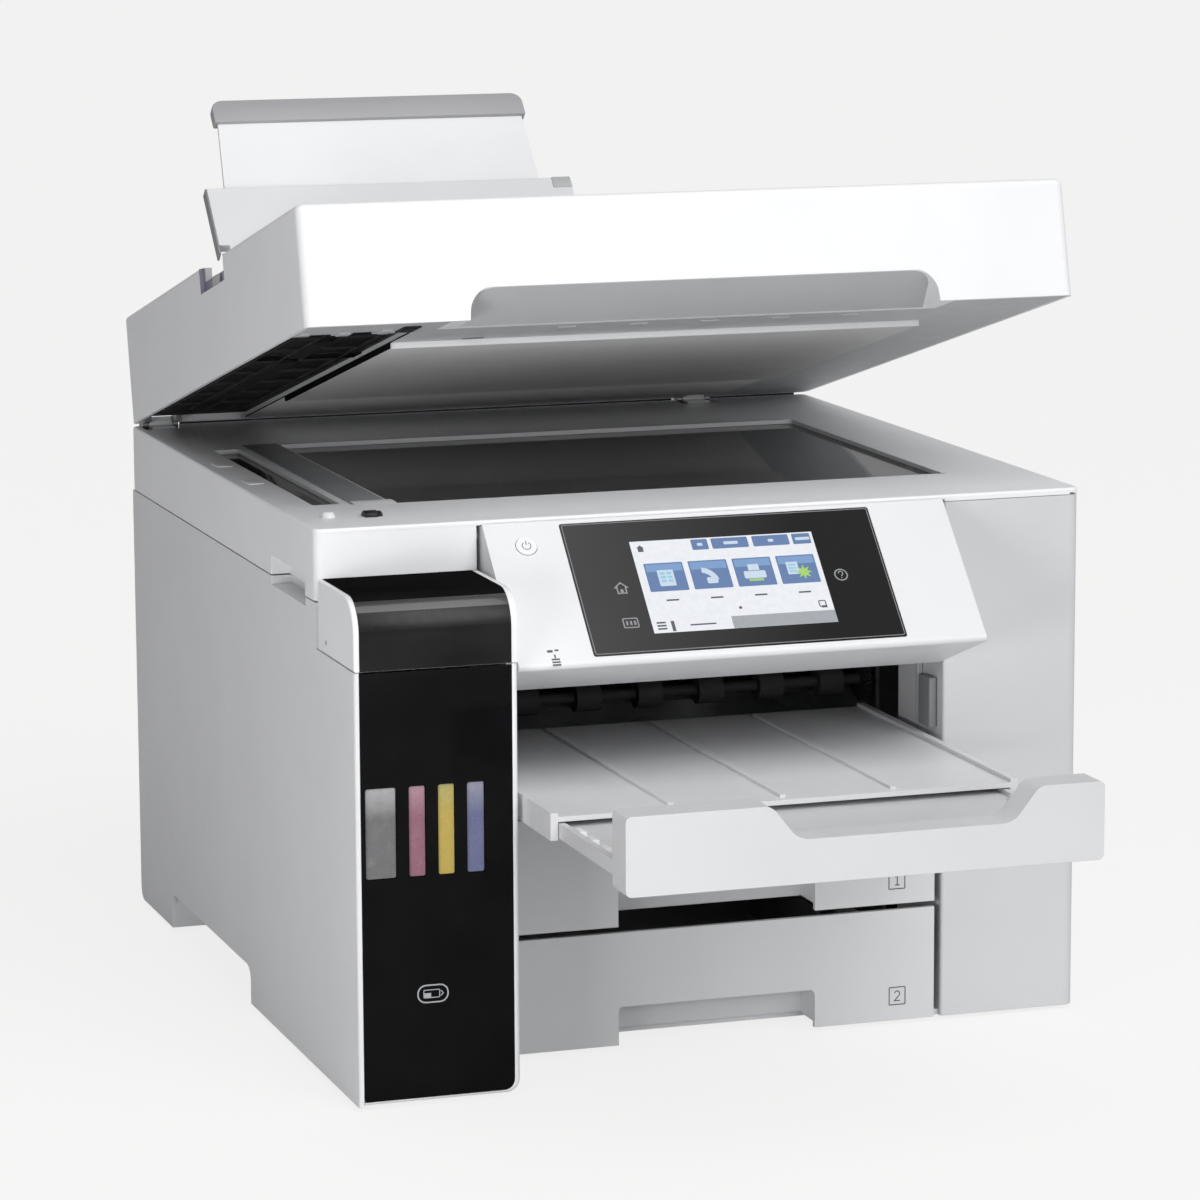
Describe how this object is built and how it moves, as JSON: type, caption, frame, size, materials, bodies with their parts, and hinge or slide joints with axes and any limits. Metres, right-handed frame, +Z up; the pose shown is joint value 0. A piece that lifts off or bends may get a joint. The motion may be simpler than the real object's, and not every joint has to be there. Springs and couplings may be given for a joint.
{
  "type": "inkjet printer",
  "caption": "Multifunction inkjet printer: ink tank column at the front left, tilting touch panel, flatbed scanner under a feeder lid, stacked paper cassettes and a telescopic output tray.",
  "frame": {"origin": "on the surface it stands on, under the middle of the object's box at rest, with its tray drawn out", "axes": "+Z up, +X to the right seen from the front, +Y to the back"},
  "size_m": [0.425, 0.656, 0.488],
  "materials": {
    "white_shell": "fine moulded texture",
    "body_shell": "fine moulded texture",
    "cassette_plastic": "fine moulded texture",
    "guide_plastic": "satin",
    "dark_plastic": "satin",
    "gloss_black": "high gloss",
    "lid_liner": "satin",
    "foam_white": "soft foam sheet",
    "steel_sheet": "galvanised",
    "roller_rubber": "matt",
    "star_wheel_plastic": "satin",
    "pane_glass": "clear",
    "head_metal": "satin",
    "board_green": "solder mask",
    "supply_case": "satin",
    "button_white": "satin",
    "tank_black": "translucent blown plastic",
    "cap_black": "satin",
    "tank_magenta": "translucent blown plastic",
    "cap_magenta": "satin",
    "tank_yellow": "translucent blown plastic",
    "cap_yellow": "satin",
    "tank_cyan": "translucent blown plastic",
    "cap_cyan": "satin"
  },
  "bodies": {
    "base": {"base_pan": "body_shell", "left_side_cover": "body_shell", "right_side_cover": "body_shell", "right_front_panel": "body_shell", "rear_panel": "body_shell", "rubber_feet": "roller_rubber", "print_frame": "steel_sheet", "platen": "dark_plastic", "carriage_rail": "steel_sheet", "carriage_belt": "roller_rubber", "carriage_motor": "steel_sheet", "circuit_board": "board_green", "power_supply": "supply_case", "power_inlet": "dark_plastic", "rear_ports": "dark_plastic", "ink_tank_housing": "white_shell", "ink_tank_front": "gloss_black", "ink_tank_black": "tank_black", "ink_tank_magenta": "tank_magenta", "ink_tank_yellow": "tank_yellow", "ink_tank_cyan": "tank_cyan"},
    "print_carriage": {"print_carriage": "dark_plastic", "print_head": "head_metal"},
    "feed_roller": {"feed_roller": "roller_rubber"},
    "exit_roller": {"exit_roller": "roller_rubber"},
    "star_wheels": {"star_wheels": "star_wheel_plastic"},
    "rear_access_cover": {"rear_access_cover": "body_shell"},
    "maintenance_box": {"maintenance_box": "guide_plastic"},
    "tank_cover": {"tank_cover": "white_shell"},
    "control_panel": {"control_panel": "white_shell", "panel_glass": "gloss_black"},
    "power_button": {"power_button": "button_white"},
    "tray_main": {"tray_main": "body_shell"},
    "tray_front": {"tray_front": "body_shell"},
    "scanner": {"scanner_case": "white_shell", "scanner_top": "white_shell", "scanner_glass": "pane_glass", "scan_guide_rod": "steel_sheet"},
    "scan_carriage": {"scan_carriage": "dark_plastic"},
    "lid": {"lid_shell": "white_shell", "lid_underside": "lid_liner", "document_mat": "foam_white", "adf_scan_bed": "dark_plastic", "lid_hinges": "steel_sheet"},
    "adf_cover": {"adf_cover": "white_shell"},
    "adf_feed_roller": {"adf_feed_roller": "roller_rubber"},
    "adf_flap": {"adf_flap": "white_shell"},
    "adf_flap_extension": {"adf_flap_extension": "white_shell"},
    "tank_cap_black": {"tank_cap_black": "cap_black"},
    "tank_cap_magenta": {"tank_cap_magenta": "cap_magenta"},
    "tank_cap_yellow": {"tank_cap_yellow": "cap_yellow"},
    "tank_cap_cyan": {"tank_cap_cyan": "cap_cyan"},
    "cassette_1": {"cassette_1": "cassette_plastic"},
    "cassette_1_left_guide": {"cassette_1_left_guide": "guide_plastic"},
    "cassette_1_right_guide": {"cassette_1_right_guide": "guide_plastic"},
    "pickup_roller_1": {"pickup_roller_1": "roller_rubber"},
    "cassette_2": {"cassette_2": "cassette_plastic"},
    "cassette_2_left_guide": {"cassette_2_left_guide": "guide_plastic"},
    "cassette_2_right_guide": {"cassette_2_right_guide": "guide_plastic"},
    "pickup_roller_2": {"pickup_roller_2": "roller_rubber"}
  },
  "joints": [
    {"name": "scanner_lift", "type": "hinge", "parent": "base", "child": "scanner", "pos_m": [0, 0.319, 0.2525], "axis": [-1, 0, 0], "range_deg": [0, 22]},
    {"name": "lid_hinge", "type": "hinge", "parent": "scanner", "child": "lid", "pos_m": [0, 0.314, 0.288], "axis": [-1, 0, 0], "range_deg": [-14, 46]},
    {"name": "adf_flap_hinge", "type": "hinge", "parent": "lid", "child": "adf_flap", "pos_m": [0, 0.09003, 0.40612], "axis": [-1, 0, 0], "range_deg": [0, 61]},
    {"name": "adf_flap_pull", "type": "slide", "parent": "adf_flap", "child": "adf_flap_extension", "axis": [0, 0.6833, 0.7302], "range_m": [-0.033, 0]},
    {"name": "adf_cover_hinge", "type": "hinge", "parent": "lid", "child": "adf_cover", "pos_m": [0, -0.01287, 0.43156], "axis": [1, 0, 0], "range_deg": [0, 60]},
    {"name": "adf_feed_roller_spin", "type": "hinge", "parent": "lid", "child": "adf_feed_roller", "pos_m": [0, 0.05606, 0.38991], "axis": [1, 0, 0], "continuous": true},
    {"name": "panel_tilt", "type": "hinge", "parent": "base", "child": "control_panel", "pos_m": [0, -0.094, 0.279], "axis": [1, 0, 0], "range_deg": [0, 44]},
    {"name": "power_button_press", "type": "slide", "parent": "control_panel", "child": "power_button", "axis": [0, 0.7145, -0.6996], "range_m": [0, 0.0008], "stiffness_N_per_m": 600},
    {"name": "tank_cover_hinge", "type": "hinge", "parent": "base", "child": "tank_cover", "pos_m": [0, -0.1095, 0.2565], "axis": [-1, 0, 0], "range_deg": [0, 85]},
    {"name": "tray_main_slide", "type": "slide", "parent": "base", "child": "tray_main", "axis": [0, -1, 0], "range_m": [-0.135, 0]},
    {"name": "tray_front_slide", "type": "slide", "parent": "tray_main", "child": "tray_front", "axis": [0, -1, 0], "range_m": [-0.09, 0]},
    {"name": "carriage_travel", "type": "slide", "parent": "base", "child": "print_carriage", "axis": [-1, 0, 0], "range_m": [0, 0.29]},
    {"name": "feed_roller_spin", "type": "hinge", "parent": "base", "child": "feed_roller", "pos_m": [0, 0.113, 0.17], "axis": [1, 0, 0], "continuous": true},
    {"name": "exit_roller_spin", "type": "hinge", "parent": "base", "child": "exit_roller", "pos_m": [0, 0.003, 0.17], "axis": [1, 0, 0], "continuous": true},
    {"name": "star_wheels_spin", "type": "hinge", "parent": "base", "child": "star_wheels", "pos_m": [0, 0.003, 0.184], "axis": [1, 0, 0], "continuous": true},
    {"name": "rear_cover_hinge", "type": "hinge", "parent": "base", "child": "rear_access_cover", "pos_m": [0, 0.325, 0.071], "axis": [-1, 0, 0], "range_deg": [0, 70]},
    {"name": "waste_box_slide", "type": "slide", "parent": "base", "child": "maintenance_box", "axis": [0, 1, 0], "range_m": [0, 0.12]},
    {"name": "scan_travel", "type": "slide", "parent": "scanner", "child": "scan_carriage", "axis": [1, 0, 0], "range_m": [0, 0.345]},
    {"name": "tank_cap_black_lift", "type": "slide", "parent": "base", "child": "tank_cap_black", "axis": [0, 0, 1], "range_m": [0, 0.016]},
    {"name": "tank_cap_magenta_lift", "type": "slide", "parent": "base", "child": "tank_cap_magenta", "axis": [0, 0, 1], "range_m": [0, 0.016]},
    {"name": "tank_cap_yellow_lift", "type": "slide", "parent": "base", "child": "tank_cap_yellow", "axis": [0, 0, 1], "range_m": [0, 0.016]},
    {"name": "tank_cap_cyan_lift", "type": "slide", "parent": "base", "child": "tank_cap_cyan", "axis": [0, 0, 1], "range_m": [0, 0.016]},
    {"name": "cassette_1_slide", "type": "slide", "parent": "base", "child": "cassette_1", "axis": [0, -1, 0], "range_m": [0, 0.3]},
    {"name": "cassette_1_left_guide_slide", "type": "slide", "parent": "cassette_1", "child": "cassette_1_left_guide", "axis": [1, 0, 0], "range_m": [-0.003, 0.045]},
    {"name": "cassette_1_right_guide_slide", "type": "slide", "parent": "cassette_1", "child": "cassette_1_right_guide", "axis": [-1, 0, 0], "range_m": [-0.003, 0.045]},
    {"name": "pickup_roller_1_spin", "type": "hinge", "parent": "base", "child": "pickup_roller_1", "pos_m": [0, 0.216, 0.1144], "axis": [1, 0, 0], "continuous": true},
    {"name": "cassette_2_slide", "type": "slide", "parent": "base", "child": "cassette_2", "axis": [0, -1, 0], "range_m": [0, 0.3]},
    {"name": "cassette_2_left_guide_slide", "type": "slide", "parent": "cassette_2", "child": "cassette_2_left_guide", "axis": [1, 0, 0], "range_m": [-0.003, 0.045]},
    {"name": "cassette_2_right_guide_slide", "type": "slide", "parent": "cassette_2", "child": "cassette_2_right_guide", "axis": [-1, 0, 0], "range_m": [-0.003, 0.045]},
    {"name": "pickup_roller_2_spin", "type": "hinge", "parent": "base", "child": "pickup_roller_2", "pos_m": [0, 0.216, 0.05], "axis": [1, 0, 0], "continuous": true}
  ],
  "couplings": [
    {"joint": "tray_front_slide", "follows": "tray_main_slide", "ratio": 0.66667},
    {"joint": "exit_roller_spin", "follows": "feed_roller_spin", "ratio": 1},
    {"joint": "star_wheels_spin", "follows": "feed_roller_spin", "ratio": -1.4035},
    {"joint": "cassette_1_right_guide_slide", "follows": "cassette_1_left_guide_slide", "ratio": 1},
    {"joint": "cassette_2_right_guide_slide", "follows": "cassette_2_left_guide_slide", "ratio": 1}
  ]
}
